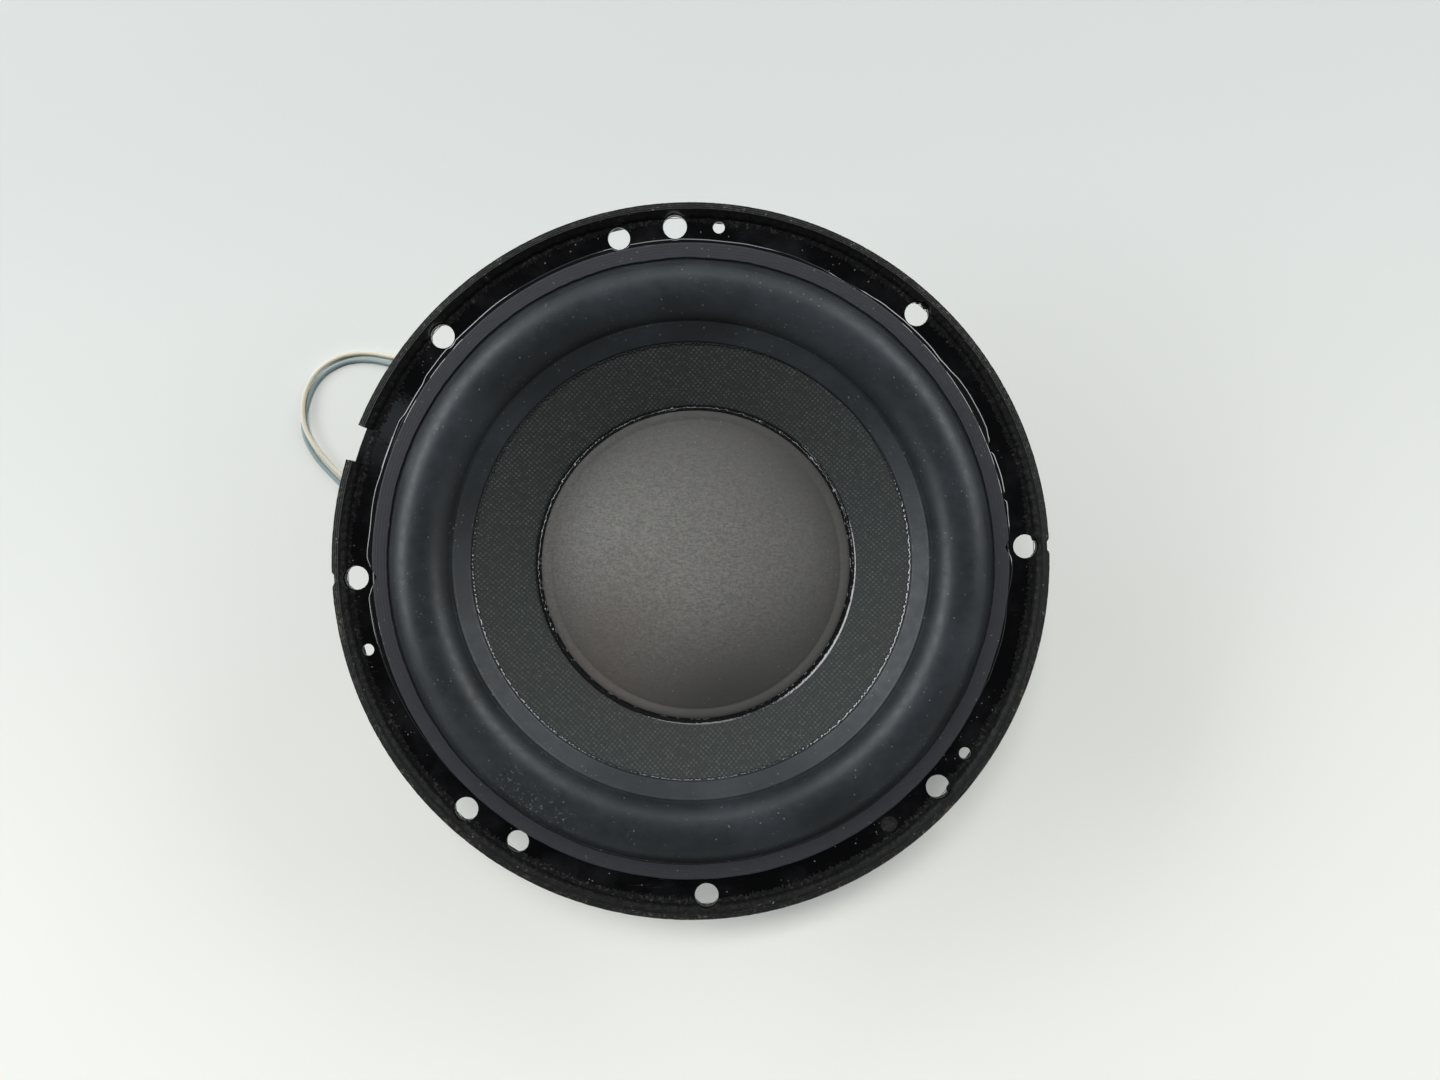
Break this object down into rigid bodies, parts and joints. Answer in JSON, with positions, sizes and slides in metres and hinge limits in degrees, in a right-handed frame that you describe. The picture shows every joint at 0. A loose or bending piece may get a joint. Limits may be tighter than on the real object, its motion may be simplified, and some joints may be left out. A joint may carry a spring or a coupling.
{
  "type": "car subwoofer driver",
  "caption": "Round car subwoofer driver with a rubber half-roll surround, woven cone, dust cap, steel basket, ferrite motor and a short lead.",
  "frame": {"origin": "centre of the yoke's back face, on the driver's axis", "axes": "+Z along the driver's axis towards the listener; +X through one of the eight bolt holes of the flange"},
  "size_m": [0.2549, 0.215, 0.088],
  "materials": {
    "basket_black": "gloss black e-coat",
    "seal_rubber": "matt, dusty",
    "foam": "torn open-cell foam",
    "surround_rubber": "satin",
    "glue_black": "gloss",
    "cone_cloth": "fine weave, coated",
    "cap_felt": "pressed fibre",
    "former": "satin",
    "collar_paper": "kraft",
    "coil_copper": "enamelled copper",
    "spider_cloth": "resin-dipped cotton",
    "zinc_steel": "zinc plated",
    "ferrite": "ground, dull",
    "board_phenolic": "phenolic board",
    "terminal_brass": "tinned",
    "tinsel": "woven copper",
    "sleeve_clear": "gloss PVC",
    "wire_cream": "PVC",
    "wire_blue": "PVC",
    "plug_nylon": "natural nylon",
    "lock_nylon": "nylon"
  },
  "bodies": {
    "frame": {"basket": "basket_black", "board_rivets": "zinc_steel", "edge_seal": "seal_rubber", "flange_adhesive": "glue_black", "gasket_residue": "foam", "hole_pad": "foam", "lug_blue": "terminal_brass", "lug_cream": "terminal_brass", "lug_sleeve_blue": "sleeve_clear", "lug_sleeve_cream": "sleeve_clear", "magnet": "ferrite", "plate_rivets": "zinc_steel", "plug_contacts": "terminal_brass", "plug_housing": "plug_nylon", "plug_lock": "lock_nylon", "spider": "spider_cloth", "surround": "surround_rubber", "terminal_blue": "terminal_brass", "terminal_board": "board_phenolic", "terminal_cream": "terminal_brass", "terminal_rivets": "terminal_brass", "tinsel_lead_blue": "tinsel", "tinsel_lead_cream": "tinsel", "top_plate": "zinc_steel", "wire_blue": "wire_blue", "wire_cream": "wire_cream", "yoke": "zinc_steel"},
    "cone_assembly": {"cone": "cone_cloth", "dust_cap": "cap_felt", "cap_adhesive": "glue_black", "cone_adhesive": "glue_black", "coil_former": "former", "former_collar": "collar_paper", "voice_coil": "coil_copper", "lead_pad_cream": "glue_black", "lead_pad_blue": "glue_black", "coil_leadout_cream": "coil_copper", "coil_leadout_blue": "coil_copper"}
  },
  "joints": [
    {"name": "cone_travel", "type": "slide", "parent": "frame", "child": "cone_assembly", "axis": [0, 0, 1], "range_m": [-0.006, 0.006], "stiffness_N_per_m": 3000, "deforming": ["surround", "spider", "tinsel_lead_cream", "tinsel_lead_blue"]}
  ]
}
